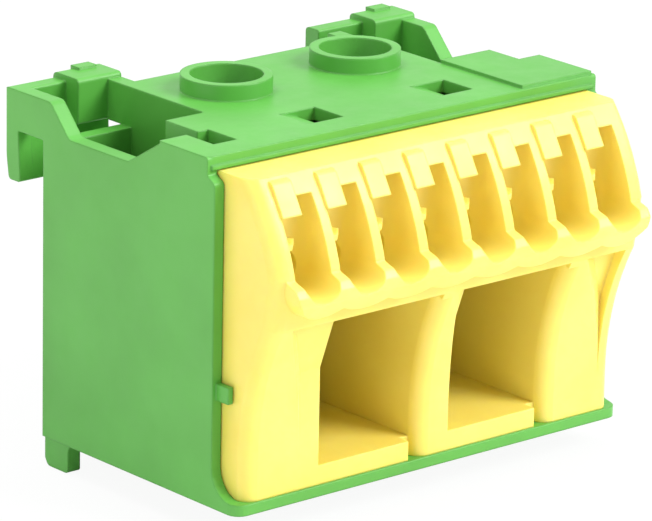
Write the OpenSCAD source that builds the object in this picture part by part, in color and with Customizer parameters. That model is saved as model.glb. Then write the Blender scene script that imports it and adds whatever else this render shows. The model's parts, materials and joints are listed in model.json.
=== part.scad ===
// Earth terminal bar: a moulded green housing that hooks on to a carrier rail, with a yellow
// entry block in front of it. Eight push-in chutes stand above two large screw-clamp entries,
// and every conductor meets one common contact bar inside.
// Frame: +X to the right, +Y to the rail, +Z to the screw collars. The origin lies under the
// middle of the part, at the level of its feet. Millimetres throughout.

/* [Housing] */
// Width over the side walls
body_w = 45; // [43:0.5:60]
// Height of the top plate over the underside of the floor
body_h = 31.2; // [30:0.2:40]
// Depth from the front lip to the rear wall
body_d = 27.3; // [26.5:0.5:36]
// Thickness of the side walls and the rear wall
wall = 1.5; // [1.2:0.1:2]
// Thickness of the floor, seen in front as a lip
floor_t = 1.0; // [0.8:0.1:1.6]
// Thickness of the top plate
plate_t = 1.2; // [1:0.1:1.6]
// Distance from the front lip back to the front edge of the side walls
front_set = 3.5; // [2.5:0.1:4.5]
// Distance from the front lip back to the front edge of the top plate
plate_set = 4.5; // [3.6:0.1:5]
// Depth of the wall left in front of the entry block's flanks
rebate = 0.45; // [0.2:0.05:0.7]
// Height of the rear feet under the floor
foot_h = 2.75; // [1.5:0.25:4]

/* [Rail hooks] */
// Width of each hook ear
ear_w = 10.2; // [8.5:0.1:11]
// Clear depth of the slot that takes the carrier rail
slot_d = 3.7; // [2:0.1:5]
// Height of the slot's roof over the floor's underside
slot_z = 27.5; // [25:0.5:29]
// Thickness of the hook's leg at its root
leg_t = 1.85; // [1.4:0.05:2.6]
// Height of the leg's tip over the floor's underside
leg_z = 22.8; // [18:0.2:25]

/* [Entries] */
// Number of push-in chutes
chutes = 8; // [8]
// Distance between neighbouring chutes
pitch = 5; // [4.8:0.05:5.2]
// Clear width of a chute
chute_w = 4; // [3.4:0.1:4.4]
// Diameter of the hole a push-in conductor enters
wire_d = 3; // [2.4:0.1:3.2]
// Clear width of a large entry
entry_w = 11.4; // [9.5:0.1:12]
// Clear height of a large entry
entry_h = 13.6; // [11:0.2:14]
// Chutes between the middles of the two large entries
entry_span = 3; // [3]

/* [Screw clamps] */
// Inner diameter of the screw collars
collar_id = 6.6; // [5.5:0.1:7]
// Wall of the screw collars
collar_t = 0.85; // [0.6:0.05:1.2]
// Height of the collars over the top plate
collar_h = 1.5; // [0.8:0.1:2.5]
// Nominal diameter of the clamp screws
screw_d = 6; // [5:0.5:6]
// Lift of the clamp cage from open to closed
cage_lift = 6; // [4:0.5:6]

/* [Hidden] */

$fn = 48;
eps = 0.01;
// play between pieces that slide or seat in one another
play = 0.1;

green = [0.30, 0.60, 0.24];
yellow = [0.91, 0.82, 0.30];
tinned = [0.78, 0.76, 0.70];
zinc = [0.74, 0.75, 0.76];
steel = [0.62, 0.63, 0.65];

// --- places along X ---
mid_x = body_w / 2;
function chute_x(i) = mid_x + (i - (chutes - 1) / 2) * pitch;
entry_x = [for (s = [-0.5, 0.5]) mid_x + s * entry_span * pitch];

// --- places along Y ---
clamp_y = 20.3;                       // axis of the clamp screws
spout_y = -5.4;                       // tips of the chutes
rear_y = body_d + slot_d + leg_t;     // back of the hooks
mid_y = (spout_y + rear_y) / 2;

// --- places along Z ---
plate_z = body_h - plate_t;           // underside of the top plate
block_top = plate_z - play;           // top of the entry block
entry_z = floor_t + 1.8;              // sill of the large entries
trough_z = 21.7;                      // axis of the conductors in the chutes

// ------------------------------------------------------------------ helpers

// Puts the part's own corner at the reference point under its middle
module placed() { translate([-mid_x, -mid_y, foot_h]) children(); }

// Extrudes an outline drawn in (Y, Z) along X
module along_x(x, w) { translate([x, 0, 0]) rotate([90, 0, 90]) linear_extrude(w) children(); }

// A box given by its low corner and its high corner
module block(a, b) { translate(a) cube(b - a); }

function unit(v) = v / norm(v);

// Arc of radius r that rounds the corner b between the points a and c
function corner_arc(a, b, c, r, n) =
    let (u = unit(a - b), v = unit(c - b), half = acos(u * v) / 2, sweep = 180 - 2 * half,
         o = b + unit(u + v) * r / sin(half), p = b + u * r / tan(half) - o,
         q = b + v * r / tan(half) - o)
    [for (i = [0:n]) let (t = i / n)
        o + (p * sin((1 - t) * sweep) + q * sin(t * sweep)) / sin(sweep)];

// Outline whose corners are given as [a, b, radius]
function rounded(p, n = 5) = let (m = len(p)) [for (i = [0:m - 1])
    let (pa = p[(i + m - 1) % m], pc = p[(i + 1) % m], b = [p[i][0], p[i][1]])
    each p[i][2] == 0 ? [b] : corner_arc([pa[0], pa[1]], b, [pc[0], pc[1]], p[i][2], n)];

// Solid through closed rings of equally many points, from the bottom ring to the top one
module loft(rings) {
    m = len(rings[0]);
    n = len(rings);
    polyhedron(
        points = [for (r = rings) each r],
        faces = concat([[for (j = [0:m - 1]) j]],
            [for (i = [0:n - 2], j = [0:m - 1]) each [
                [i * m + j, (i + 1) * m + j, (i + 1) * m + (j + 1) % m],
                [i * m + j, (i + 1) * m + (j + 1) % m, i * m + (j + 1) % m]]],
            [[for (j = [m - 1:-1:0]) (n - 1) * m + j]]));
}

// ------------------------------------------------------------------ housing

shoulder_y = 11.7;      // where the plate narrows at the sides
cavity_y = 15.7;        // front of the rear side cavities
dip_z = body_h - 2.85;  // top of the side walls beside the cavities
cheek = [4.4, 2.8];     // width of the open strips left and right of the plate
ear_in = ear_w - wall;  // inner face of an ear's second wall
ear_block_w = 4.85;     // width of the block that closes an ear
ear_block_y = body_d + 1.9;
raise = 0.3;            // the right shoulder stands a little proud

// Side view of an outer wall with its ear, the rail slot and the hook's leg
module wall_outline() {
    polygon(rounded([
        [0, 0, 0.3], [body_d, 0, 0.3], [body_d, slot_z, 0.2], [body_d + slot_d, slot_z, 0.2],
        [body_d + slot_d - 0.3, leg_z, 0.2], [rear_y - 0.55, leg_z, 0.4],
        [rear_y, leg_z + 3.4, 0.6], [rear_y, body_h, 0.4], [body_d - 1, body_h, 0.8],
        [body_d - 3.7, dip_z, 0.9], [cavity_y - 0.4, dip_z, 0.5], [10.6, body_h, 1.2],
        [plate_set, body_h, 0.3], [plate_set, body_h - 1.6, 0.2],
        [front_set, body_h - 2.2, 0.4], [front_set, floor_t, 2.6], [0, floor_t, 0.3]]));
}

// Plan of the whole housing, with rounded front corners
module plan_outline() {
    polygon(rounded([[0, 0, 1.2], [body_w, 0, 1.2], [body_w, rear_y, 0.3], [0, rear_y, 0.3]]));
}

// Plan of the top plate
module plate_outline() {
    polygon(rounded([
        [0, plate_set, 0.8], [body_w, plate_set, 0.8], [body_w, shoulder_y, 0.2],
        [body_w - cheek[1], shoulder_y, 0.2], [body_w - cheek[1], cavity_y, 0.2],
        [body_w - ear_in, cavity_y, 0.3], [body_w - ear_in, body_d, 0.2],
        [ear_in, body_d, 0.2], [ear_in, cavity_y, 0.3],
        [cheek[0], cavity_y, 0.2], [cheek[0], shoulder_y - 0.6, 0.2],
        [0, shoulder_y - 0.6, 0.2]]));
}

// Back of one ear: the hook's plate and the thick block beside it, from x to x + ear_w
module ear_back(x) {
    along_x(x, ear_w) polygon(rounded([
        [body_d + slot_d, slot_z - 1, 0.1], [body_d + slot_d - 0.3, leg_z, 0.2],
        [rear_y - 0.55, leg_z, 0.4], [rear_y, leg_z + 3.4, 0.6], [rear_y, body_h, 0.4],
        [body_d + slot_d, body_h, 0.2]]));
    along_x(x + ear_w - ear_block_w, ear_block_w) polygon(rounded([
        [ear_block_y, slot_z, 0.3], [rear_y, slot_z, 0.2], [rear_y, body_h + 0.5, 0.5],
        [ear_block_y, body_h + 0.5, 0.4]]));
    // small catch on the back of the ear's top
    block([x + ear_w - 2.9, rear_y - 1.2, body_h], [x + ear_w - 0.9, rear_y, body_h + 0.75]);
}

// Second wall of an ear, from the plate back to the ear's block
module ear_web(x) {
    along_x(x, wall) polygon(rounded([
        [cavity_y, 0, 0], [body_d, 0, 0], [body_d, slot_z, 0.2], [ear_block_y + 0.5, slot_z, 0],
        [ear_block_y + 0.5, body_h, 0], [cavity_y, body_h, 0]]));
}

// Foot at the bottom of the rear wall, with a fillet to the floor in front
module foot(x) {
    along_x(x, wall - 0.1) polygon(rounded([
        [body_d - 5.4, eps, 0], [body_d - 3.3, eps - 0.01, 0.8], [body_d - 3.3, -foot_h, 0.3],
        [body_d - 0.4, -foot_h, 0.6], [body_d, -foot_h + 0.7, 0.3], [body_d, eps, 0]]));
}

// Latch window in the top plate: a ramp from the left that ends in a hole
module latch_window(x, w) {
    depth = plate_t + 0.4;
    translate([x, 0, 0]) {
        rotate([90, 0, 0]) translate([0, body_h, -11.3]) linear_extrude(3.9)
            polygon([[0, 0.01], [w, 0.01], [w, -0.6], [w - 1.9, -0.6]]);
        block([w - 1.9, 7.4, body_h - depth], [w, 11.3, body_h]);
    }
}

module screw_collar(x) {
    translate([x, clamp_y, plate_z])
        cylinder(d = collar_id + 2 * collar_t, h = plate_t + collar_h);
}

module housing() color(green) placed() difference() {
    intersection() {
        union() {
            for (x = [0, body_w - wall]) along_x(x, wall) wall_outline();
            block([0, 0, 0], [body_w, body_d, floor_t]);
            block([0, body_d - wall, 0], [body_w, body_d, slot_z]);
            // rear wall between the ears, up to the plate
            block([ear_in, body_d - wall, 0], [body_w - ear_in, body_d, body_h]);
            translate([0, 0, plate_z]) linear_extrude(plate_t) plate_outline();
            // bead along the lower edge of the plate's front
            block([0.4, plate_set - 0.2, plate_z], [body_w - 0.4, plate_set + 0.2, plate_z + 0.4]);
            // right shoulder, a little proud of the plate
            block([body_w - ear_in, plate_set + 0.3, body_h - eps],
                  [body_w - 0.3, shoulder_y, body_h + raise]);
            block([body_w - ear_in, shoulder_y - eps, body_h - eps],
                  [body_w - cheek[1], cavity_y, body_h + raise]);
            for (x = [0, body_w - ear_w]) ear_back(x);
            for (x = [ear_in, body_w - ear_w]) ear_web(x);
            // walls under the plate's rear edges close the cavities in front
            for (s = [0, 1]) let (x = s == 0 ? cheek[0] : body_w - ear_in - eps,
                                  e = s == 0 ? ear_in + eps : body_w - cheek[1])
                block([x, cavity_y - wall, 0], [e, cavity_y, body_h]);
            block([cheek[0], shoulder_y - 0.6, 0], [cheek[0] + wall, cavity_y, body_h]);
            block([body_w - cheek[1] - wall, shoulder_y, 0], [body_w - cheek[1], cavity_y, body_h]);
            for (x = entry_x) screw_collar(x);
            for (x = [0.3, body_w - 0.2 - wall]) foot(x);
            // lugs that hold the entry block's flanks
            for (x = [0.45, body_w - 1])
                block([x, front_set - 1.6, 9.7], [x + 0.55, front_set + eps, 11.2]);
        }
        translate([0, 0, -foot_h - 1]) linear_extrude(body_h + foot_h + 5) plan_outline();
    }
    // rebate that takes the entry block's flanks
    block([wall - rebate, -1, floor_t], [body_w - wall + rebate, 8, plate_z]);
    for (x = entry_x)
        translate([x, clamp_y, plate_z - 1]) cylinder(d = collar_id, h = plate_t + collar_h + 2);
    latch_window(3.0, 2.6);
    latch_window(entry_x[0] - 1.5, 4.1);
    latch_window(entry_x[1] - 1.4, 4.1);
    latch_window(body_w - 3.5, 2.2);
}

// ------------------------------------------------------------------ entry block

flank = wall - rebate + play;     // left face of the entry block
flank_r = body_w - flank;         // right face of the entry block
block_d = 7.5;                    // rear of the entry block's body
comb_d = shoulder_y - 0.6 - play;  // rear of the walls between the springs
tunnel_d = cavity_y - wall - play; // rear of the large entries
spout_z = 17;                     // underside of the chutes
base_y = 0.2;                     // plane of the columns below their flare
flare_r = 26.4;                   // the columns' flare is an arc of this radius
flare_z = 4.5;                    // height at which the flare leaves the plane
brow_y = -3.7;                    // the chutes' front edges meet the spouts here
brow_z = 21.9;
brow_r = 22.3;                    // the chutes' front edges are an arc of this radius
brow_tilt = 15;                   // lean of that arc where it starts, and where it ends
brow_end = 42;
edge_r = 1.4;                     // rounding of the columns' left front edges
brow_c = [brow_y + brow_r * cos(brow_tilt), brow_z - brow_r * sin(brow_tilt)];

// Turns a shape drawn round Z so that its axis runs along X through [y, z]
module round_x(y, z) { translate([0, y, z]) rotate([90, 0, 90]) children(); }

// Section of a tool that rounds the corner of a body lying at X > 0, Y > 0
module round_tool(r) {
    difference() {
        translate([-1, -1]) square(r + 0.85);
        translate([r, r]) circle(r);
    }
}

// Tool that rounds a column's front edge at x, up the plane and then up the flare
module round_column(x, r, top) {
    translate([x, base_y, -1]) linear_extrude(flare_z + 1) round_tool(r);
    round_x(base_y - flare_r, flare_z) rotate_extrude(angle = asin((top - flare_z) / flare_r))
        translate([flare_r, x]) round_tool(r);
}

// Tool that rounds the head's front edge at x, up the spouts' root and then up the brow
module round_head(x, r) {
    lean = atan((-2.95 - brow_y) / (brow_z - spout_z));
    translate([x, -2.95, spout_z]) rotate([lean, 0, 0]) translate([0, 0, -1])
        linear_extrude(brow_z - spout_z + 1) round_tool(r);
    round_x(brow_c[0], brow_c[1]) rotate([0, 0, 180 - brow_end - 6])
        rotate_extrude(angle = brow_end + 6 - brow_tilt + 4)
            translate([brow_r, x]) mirror([1, 0]) round_tool(r);
}

// Part of a column that flares out to the spouts, from x0 to x1, then slants back to x2
module wing(x0, x1, x2) {
    difference() {
        translate([0, 0, floor_t]) linear_extrude(spout_z + 0.4 - floor_t) polygon([
            [x0, 1], [x0, -2.95], [x1, -2.95], [x2, base_y], [x2, 1]]);
        round_x(base_y - flare_r, flare_z) translate([0, 0, x0 - 1])
            cylinder(r = flare_r, h = x2 - x0 + 2, $fn = 96);
        block([x0 - 1, -5, 0], [x2 + 1, base_y, flare_z]);
    }
}

// Columns and head before anything is cut out of them
module block_body() {
    block([flank, base_y, floor_t], [flank_r, block_d, block_top - 1]);
    wing(flank, 3.4, 7);
    wing(entry_x[0] + entry_w / 2, entry_x[0] + entry_w / 2 + 1.8, entry_x[1] - entry_w / 2);
    wing(entry_x[1] + entry_w / 2, entry_x[1] + entry_w / 2 + 1.9, flank_r - 1.55);
    wing(flank_r - 1.5, flank_r, flank_r + eps);
    // short flare of the columns' right-hand edges
    along_x(flank + 1, body_w - 2 * flank - 2)
        polygon([[1, 11.8], [base_y, 11.8], [-1.6, spout_z - 0.3], [-1.6, spout_z + 1], [1, 18]]);
    intersection() {
        along_x(flank, body_w - 2 * flank) polygon([
            [-2.95, spout_z], [brow_y, brow_z], [brow_y - 1, brow_z], [-3, block_top],
            [block_d, block_top], [block_d, spout_z]]);
        round_x(brow_c[0], brow_c[1]) cylinder(r = brow_r, h = body_w, $fn = 96);
    }
}

// Tools for all the rounded front edges
module front_rounds() {
    round_column(flank, edge_r, spout_z + 0.2);
    for (x = entry_x) round_column(x + entry_w / 2, edge_r, entry_z + entry_h);
    round_head(flank, edge_r);
    translate([flank_r, 0, 0]) mirror([1, 0, 0]) {
        round_column(0, 0.9, spout_z + 0.2);
        round_head(0, 0.9);
    }
}

// Noses under the chutes: one side profile, scalloped underneath and round at both ends
module spouts() {
    r = 2.95;
    end = chute_x(chutes - 1);
    intersection() {
        along_x(chute_x(0) - r, end - chute_x(0) + 2 * r) polygon(rounded([
            [-2.5, spout_z, 0], [-2.5, 22.6, 0], [-3.35, 22.6, 0], [-3.7, 21.7, 0.5],
            [-4.9, 21.3, 0.6], [spout_y, 20.6, 0.5], [spout_y, 19.7, 0.6], [-4.5, 18.2, 0.6],
            [-3.0, spout_z + 0.2, 0.4]]));
        union() {
            intersection() {
                block([chute_x(0), -8, spout_z - 1], [end, 0, brow_z + 1]);
                for (i = [0:chutes - 1])
                    translate([chute_x(i), 0, 23.7]) rotate([90, 0, 0]) cylinder(r = 5.5, h = 8);
            }
            for (x = [chute_x(0), end]) {
                translate([x, 0, 21.15]) rotate([90, 0, 0]) cylinder(r = r, h = 8);
                block([x - r, -8, 21.15], [x + r, 0, brow_z + 1]);
            }
        }
    }
}

// Room of one chute: an upright slot with a round back, and a trough that leads out in front
module chute_cut(x) {
    r = chute_w / 2;
    top = block_top - 0.9;
    translate([x, -1, trough_z]) {
        sphere(r = r);
        cylinder(r = r, h = top - trough_z - r * 0.4);
        translate([-r, -9, 0]) cube([chute_w, 9, top - trough_z - r * 0.4]);
        rotate([90, 0, 0]) cylinder(r = r, h = 9);
    }
    translate([x, 0, trough_z]) rotate([-90, 0, 0]) translate([0, 0, -0.5])
        cylinder(d = wire_d, h = block_d + 2);
}

// Flat pad that covers the left half of a chute at its top
module pad(x) {
    w = chute_w * 0.52;
    along_x(x - chute_w / 2 - eps, w) polygon([
        [1.2, 26.8], [-2.05, 26.8], [-0.55, 29.4], [-0.3, block_top - 0.3], [1.2, block_top - 0.3]]);
}

// Thin tapering nib on the left wall of a chute
module nib(x) {
    translate([x - chute_w / 2, 0, 24.1]) linear_extrude(0.55)
        polygon([[-eps, -2.75], [-eps, 0.5], [0.5, 0.5], [1.7, -1.4], [0.5, -2.65]]);
}

// Mouth and tunnel of a large entry
module entry_cut(x) {
    block([x - entry_w / 2, -8, entry_z], [x + entry_w / 2, tunnel_d + 1, entry_z + entry_h]);
}

module entry_block() color(yellow) placed() difference() {
    union() {
        difference() {
            union() {
                difference() { block_body(); front_rounds(); }
                spouts();
            }
            for (i = [0:chutes - 1]) chute_cut(chute_x(i));
            // hollow behind the chutes, open to the rear
            block([flank + 1.2, 3.2, bar_z], [flank_r - 1.2, block_d + 1, block_top - 1]);
        }
        for (i = [0:chutes - 1]) { pad(chute_x(i)); nib(chute_x(i)); }
        // walls of the comb that keeps the springs apart
        for (i = [0:chutes]) block([chute_x(i) - pitch / 2 - 0.4, 3.1, bar_top + play],
                                   [chute_x(i) - pitch / 2 + 0.4, comb_d, block_top - 0.9]);
        // tunnels of the large entries
        for (x = entry_x)
            block([x - entry_w / 2 - 1, block_d - 1, entry_z - 0.9],
                  [x + entry_w / 2 + 1, tunnel_d, bar_z]);
    }
    for (x = entry_x) entry_cut(x);
    // hollows behind the columns
    block([flank + 1.3, 2.2, floor_t + 1.2],
          [entry_x[0] - entry_w / 2 - 1, block_d + 1, spout_z - 1]);
    block([entry_x[1] + entry_w / 2 + 1, 3.2, floor_t + 1.2],
          [flank_r - 1.3, block_d + 1, spout_z - 1]);
}

// ------------------------------------------------------------------ metal parts

bar_t = 1.5;
bar_z = entry_z + entry_h + 1;          // underside of the contact bar
bar_top = bar_z + bar_t;
tongue_w = 6.2;                          // tongue of the bar inside a clamp cage
cage_t = 1.2;
cage_w = tongue_w + 2 * cage_t + 0.6;
cage_d = 7.6;
cage_head_t = 2.4;                       // thick top of the cage, threaded
screw_head_t = 1.9;
thread_play = 0.05;

// Common bar: a strip under the springs and two tongues through the cages
module contact_bar() color(tinned) placed() {
    block([flank + 2, 4, bar_z], [body_w - flank - 2, comb_d - 0.4, bar_top]);
    for (x = entry_x)
        block([x - tongue_w / 2, comb_d - 0.5, bar_z], [x + tongue_w / 2, clamp_y + 4.9, bar_top]);
}

// Cage of folded steel round a tongue, drawn open, with its threaded head on top
module clamp_cage(x) {
    open_h = 9;                          // room for the conductor under the bar
    top = bar_top + 0.4;
    translate([x, clamp_y, 0]) difference() {
        translate([-cage_w / 2, -cage_d / 2, bar_z - open_h - cage_t])
            cube([cage_w, cage_d, top - bar_z + open_h + cage_t + cage_head_t]);
        translate([-cage_w / 2 + cage_t, -cage_d / 2 - 1, bar_z - open_h])
            cube([cage_w - 2 * cage_t, cage_d + 2, top - bar_z + open_h]);
        cylinder(d = screw_d + 2 * thread_play, h = body_h);
    }
}

// Clamp screw: its tip bears on the tongue and its head lies under the collar
module clamp_screw(x) {
    tip = bar_top + 0.05;
    head = plate_z - 0.15 - screw_head_t;
    translate([x, clamp_y, 0]) difference() {
        union() {
            translate([0, 0, tip]) cylinder(d1 = screw_d - 1.2, d2 = screw_d, h = 0.6);
            translate([0, 0, tip + 0.6 - eps]) cylinder(d = screw_d, h = head - tip - 0.6 + 2 * eps);
            translate([0, 0, head]) cylinder(d = collar_id + 1, h = screw_head_t);
        }
        // slot and cross recess
        block([-collar_id / 2, -0.45, head + 0.8], [collar_id / 2, 0.45, head + 3]);
        block([-0.5, -1.9, head + 0.5], [0.5, 1.9, head + 3]);
    }
}

module clamp_cage_left() color(zinc) placed() clamp_cage(entry_x[0]);
module clamp_cage_right() color(zinc) placed() clamp_cage(entry_x[1]);
module clamp_screw_left() color(zinc) placed() clamp_screw(entry_x[0]);
module clamp_screw_right() color(zinc) placed() clamp_screw(entry_x[1]);

// Leaf spring: a flat leg under the head's roof, a round bend and a clamping leg to the bar
spring_t = 0.4;
spring_w = 3.4;
module spring(i) {
    x = chute_x(i) - spring_w / 2;
    roof = block_top - 1.05;
    r = 2.2;
    bend_y = comb_d - 0.2 - r;
    low = roof - 2 * r;                  // where the bend ends and the clamping leg starts
    tip = [6.2, bar_top + 0.1];
    along = unit(tip - [bend_y, low]);
    side = [-along[1], along[0]] * spring_t;
    color(steel) placed() {
        block([x, 4.4, roof - spring_t], [x + spring_w, bend_y + 0.05, roof]);
        difference() {
            round_x(bend_y, roof - r) translate([0, 0, x]) cylinder(r = r, h = spring_w);
            round_x(bend_y, roof - r) translate([0, 0, x - 1])
                cylinder(r = r - spring_t, h = spring_w + 2);
            block([x - 1, 0, low - 1], [x + spring_w + 1, bend_y, roof + 1]);
        }
        along_x(x, spring_w) polygon([[bend_y + 0.3, low + 0.02], tip, tip - side,
                                      [bend_y + 0.3, low + 0.42]]);
    }
}
module spring_1() spring(0);
module spring_2() spring(1);
module spring_3() spring(2);
module spring_4() spring(3);
module spring_5() spring(4);
module spring_6() spring(5);
module spring_7() spring(6);
module spring_8() spring(7);

housing();
entry_block();
contact_bar();
clamp_cage_left();
clamp_cage_right();
clamp_screw_left();
clamp_screw_right();
spring_1();
spring_2();
spring_3();
spring_4();
spring_5();
spring_6();
spring_7();
spring_8();
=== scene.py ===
"""Looks of the earth terminal bar: moulded plastics, bright metal, studio light and camera."""

import json
import math

import bpy
from mathutils import Matrix, Vector


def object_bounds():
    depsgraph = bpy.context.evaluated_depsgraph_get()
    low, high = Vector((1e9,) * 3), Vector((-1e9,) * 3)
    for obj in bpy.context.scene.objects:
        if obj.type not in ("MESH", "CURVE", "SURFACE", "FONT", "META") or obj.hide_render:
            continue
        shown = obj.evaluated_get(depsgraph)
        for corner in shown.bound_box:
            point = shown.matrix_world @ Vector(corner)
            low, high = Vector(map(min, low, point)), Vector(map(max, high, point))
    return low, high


MM = 0.001
SMOOTH_ANGLE = 32        # degrees; edges that turn more than this stay sharp
FLOOR_SIZE = 6           # metres
FLOOR_WHITE = 0.93       # share of plain white in what the camera sees of the floor
WORLD_LIGHT = 0.42       # strength of the world's light on the part
PLASTIC_IOR = 1.5

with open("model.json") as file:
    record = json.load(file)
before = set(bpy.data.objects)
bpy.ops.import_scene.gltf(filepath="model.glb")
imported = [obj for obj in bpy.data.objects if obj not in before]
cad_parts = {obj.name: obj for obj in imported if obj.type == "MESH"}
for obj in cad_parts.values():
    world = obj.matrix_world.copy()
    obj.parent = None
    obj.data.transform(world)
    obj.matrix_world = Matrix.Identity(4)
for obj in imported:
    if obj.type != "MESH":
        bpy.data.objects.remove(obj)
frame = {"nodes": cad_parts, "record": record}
cad_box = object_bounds()
low, high = Vector(cad_box[0]), Vector(cad_box[1])
middle = (low + high) / 2


# ---------------------------------------------------------------- node helpers

class Graph:
    """Small helper that adds and links the nodes of one material."""

    def __init__(self, name):
        self.material = bpy.data.materials.new(name)
        self.material.use_nodes = True
        self.nodes = self.material.node_tree.nodes
        self.links = self.material.node_tree.links
        self.shader = self.nodes["Principled BSDF"]

    def add(self, kind, inputs=None, **settings):
        node = self.nodes.new("ShaderNode" + kind)
        for key, value in settings.items():
            setattr(node, key, value)
        for key, value in (inputs or {}).items():
            self.set(node, key, value)
        return node

    def set(self, node, key, value):
        if isinstance(value, bpy.types.NodeSocket):
            self.links.new(value, node.inputs[key])
        else:
            node.inputs[key].default_value = value

    def out(self, node, key=0):
        return node.outputs[key]

    def coordinates(self):
        return self.out(self.add("TexCoord"), "Object")

    def noise(self, scale, detail=3.0, roughness=0.5, vector=None):
        where = vector or self.coordinates()
        node = self.add("TexNoise", {"Vector": where, "Scale": scale, "Detail": detail,
                                     "Roughness": roughness})
        return self.out(node, "Fac")

    def ramp(self, value, stops):
        node = self.add("ValToRGB", {"Fac": value})
        elements = node.color_ramp.elements
        while len(elements) < len(stops):
            elements.new(0.5)
        for element, (position, colour) in zip(elements, stops):
            element.position = position
            element.color = (*colour, 1.0)
        return self.out(node, "Color")

    def grey(self, value, low_in, high_in, low_out, high_out):
        node = self.add("MapRange", {"Value": value, "From Min": low_in, "From Max": high_in,
                                     "To Min": low_out, "To Max": high_out})
        return self.out(node, "Result")

    def maths(self, operation, a, b=0.0):
        node = self.add("Math", {0: a, 1: b}, operation=operation)
        return self.out(node, 0)

    def surface(self, **inputs):
        for key, value in inputs.items():
            self.set(self.shader, key.replace("_", " "), value)


def linear(red, green, blue):
    """Scene colour of a screen colour given as 0 to 255."""
    def one(value):
        value /= 255
        return value / 12.92 if value <= 0.04045 else ((value + 0.055) / 1.055) ** 2.4
    return one(red), one(green), one(blue)


# ---------------------------------------------------------------- materials

def moulded_plastic(name, colour, deep, rough, edge, grain_height):
    """Satin moulded plastic: faint flow marks in the colour, fine grain, softened edges."""
    g = Graph(name)
    flow = g.noise(90.0, 4.0, 0.55)
    tint = g.ramp(flow, [(0.35, deep), (0.65, colour)])
    cloud = g.noise(420.0, 3.0, 0.6)
    soft = g.add("Bevel", {"Radius": edge}, samples=6)
    grain = g.noise(5200.0, 2.0, 0.6)
    grainy = g.add("Bump", {"Height": grain, "Strength": 0.25, "Distance": grain_height,
                            "Normal": g.out(soft)})
    wave = g.noise(260.0, 2.0, 0.4)
    wavy = g.add("Bump", {"Height": wave, "Strength": 0.35, "Distance": 0.03 * MM,
                          "Normal": g.out(grainy)})
    g.surface(Base_Color=tint, Roughness=g.grey(cloud, 0.3, 0.7, rough - 0.05, rough + 0.05),
              Normal=g.out(wavy))
    g.surface(IOR=PLASTIC_IOR)
    return g


def green_plastic():
    """Green of the housing."""
    g = moulded_plastic("green_moulding", colour=linear(88, 168, 66), deep=linear(82, 158, 60),
                        rough=0.42, edge=0.25 * MM, grain_height=0.01 * MM)
    return g.material


def yellow_plastic():
    """Yellow of the entry block, which lets a little light in."""
    g = moulded_plastic("yellow_moulding", colour=linear(240, 222, 110), deep=linear(236, 214, 96),
                        rough=0.40, edge=0.22 * MM, grain_height=0.01 * MM)
    g.surface(Subsurface_Weight=0.35, Subsurface_Radius=(1.0, 0.7, 0.12), Subsurface_Scale=1.2 * MM)
    return g.material


def metal(name, colour, rough, stretch):
    """Bright rolled metal with fine lines along the axes where stretch is small."""
    g = Graph(name)
    stretched = g.add("Mapping", {"Vector": g.coordinates(), "Scale": stretch})
    lines = g.noise(1500.0, 3.0, 0.7, g.out(stretched))
    tint = g.ramp(g.noise(150.0), [(0.3, tuple(c * 0.88 for c in colour)), (0.7, colour)])
    lined = g.add("Bump", {"Height": lines, "Strength": 0.2, "Distance": 0.01 * MM})
    g.surface(Base_Color=tint, Metallic=1.0, Normal=g.out(lined),
              Roughness=g.grey(lines, 0.3, 0.7, rough - 0.08, rough + 0.08))
    return g.material


def dress_cad():
    """Gives every CAD node its finish, by the record's material slot."""
    finishes = {
        "green_moulding": green_plastic(),
        "yellow_moulding": yellow_plastic(),
        "bar_metal": metal("bar_metal", linear(214, 184, 110), rough=0.30, stretch=(0.1, 1.0, 1.0)),
        "zinc": metal("zinc", linear(196, 199, 202), rough=0.32, stretch=(1.0, 1.0, 0.1)),
        "spring_steel": metal("spring_steel", linear(180, 180, 184), rough=0.26,
                              stretch=(1.0, 0.1, 0.1))}
    slots = {part["node"]: part["material_slot"] for part in frame["record"]["subparts"]}
    for node, thing in frame["nodes"].items():
        thing.data.materials.clear()
        thing.data.materials.append(finishes[slots[node]])
        for face in thing.data.polygons:
            face.use_smooth = True
        thing.data.set_sharp_from_angle(angle=math.radians(SMOOTH_ANGLE))


# ---------------------------------------------------------------- studio

def camera():
    """The catalogue view: from the left front, a little above, through a long lens."""
    azimuth, elevation, roll = math.radians(40.70), math.radians(17.30), math.radians(1.11)
    distance, lens = 0.47512, 293.4
    target = middle + Vector((-0.54, 0.68, 0.53)) * MM
    forward = Vector((math.sin(azimuth) * math.cos(elevation),
                      math.cos(azimuth) * math.cos(elevation), -math.sin(elevation)))
    right = forward.cross(Vector((0, 0, 1))).normalized()
    up = right.cross(forward)
    turn = Matrix((right, up, -forward)).transposed()
    data = bpy.data.cameras.new("camera")
    data.lens = lens
    data.clip_start, data.clip_end = 0.01, 20
    thing = bpy.data.objects.new("camera", data)
    bpy.context.collection.objects.link(thing)
    thing.matrix_world = (Matrix.Translation(target - forward * distance) @ turn.to_4x4()
                          @ Matrix.Rotation(roll, 4, "Z"))
    bpy.context.scene.camera = thing


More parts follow.
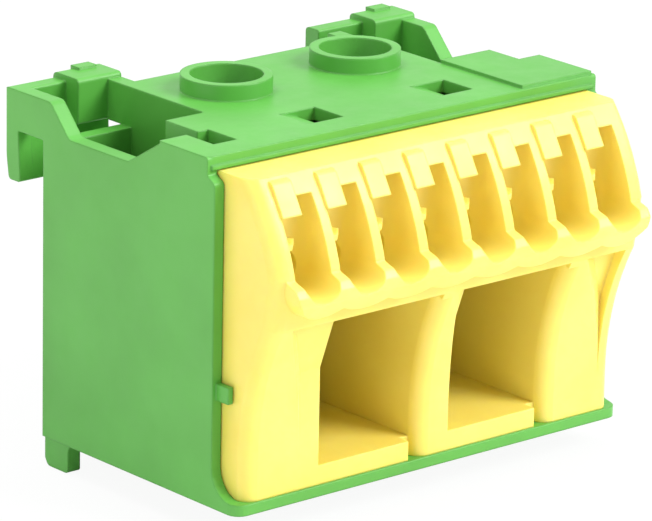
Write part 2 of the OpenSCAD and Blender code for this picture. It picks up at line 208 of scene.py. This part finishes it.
def lamp(name, place, size, power):
    """White square lamp at a place given from the part's middle, turned to that middle."""
    data = bpy.data.lights.new(name, "AREA")
    data.shape = "SQUARE"
    data.size = size
    data.energy = power
    thing = bpy.data.objects.new(name, data)
    bpy.context.collection.objects.link(thing)
    thing.location = middle + Vector(place)
    thing.rotation_euler = (middle - thing.location).to_track_quat("-Z", "Y").to_euler()


def studio_floor():
    """White floor that stays white for the camera and keeps a faint shadow."""
    bpy.ops.mesh.primitive_plane_add(size=FLOOR_SIZE, location=(0, 0, low.z))
    floor = bpy.context.object
    floor.name = "studio_floor"
    g = Graph("studio_floor")
    g.surface(Base_Color=(0.9, 0.9, 0.9, 1), Roughness=0.9)
    path = g.add("LightPath")
    white = g.add("Emission", {"Color": (1, 1, 1, 1), "Strength": 1.0})
    mix = g.add("MixShader", {"Fac": g.maths("MULTIPLY", g.out(path, "Is Camera Ray"), FLOOR_WHITE)})
    g.links.new(g.shader.outputs[0], mix.inputs[1])
    g.links.new(white.outputs[0], mix.inputs[2])
    g.links.new(mix.outputs[0], g.nodes["Material Output"].inputs["Surface"])
    floor.data.materials.append(g.material)


def studio_world():
    """White world, held back to WORLD_LIGHT except for what is seen or mirrored."""
    world = bpy.data.worlds.new("studio")
    bpy.context.scene.world = world
    world.use_nodes = True
    nodes, links = world.node_tree.nodes, world.node_tree.links
    background = nodes["Background"]
    background.inputs["Color"].default_value = (1, 1, 1, 1)
    path = nodes.new("ShaderNodeLightPath")
    shown = nodes.new("ShaderNodeMath")
    shown.operation = "MAXIMUM"
    links.new(path.outputs["Is Camera Ray"], shown.inputs[0])
    links.new(path.outputs["Is Glossy Ray"], shown.inputs[1])
    level = nodes.new("ShaderNodeMapRange")
    level.inputs["To Min"].default_value = WORLD_LIGHT
    level.inputs["To Max"].default_value = 1.0
    links.new(shown.outputs[0], level.inputs["Value"])
    links.new(level.outputs["Result"], background.inputs["Strength"])


def studio():
    """World, floor, three soft lamps and plain colours."""
    studio_world()
    studio_floor()
    lamp("key", place=(0.30, -0.45, 0.42), size=0.35, power=5.2)
    lamp("top", place=(-0.05, 0.10, 0.60), size=0.50, power=3.0)
    lamp("fill", place=(-0.60, -0.10, 0.20), size=0.50, power=1.0)
    bpy.context.scene.view_settings.view_transform = "Standard"


dress_cad()
camera()
studio()
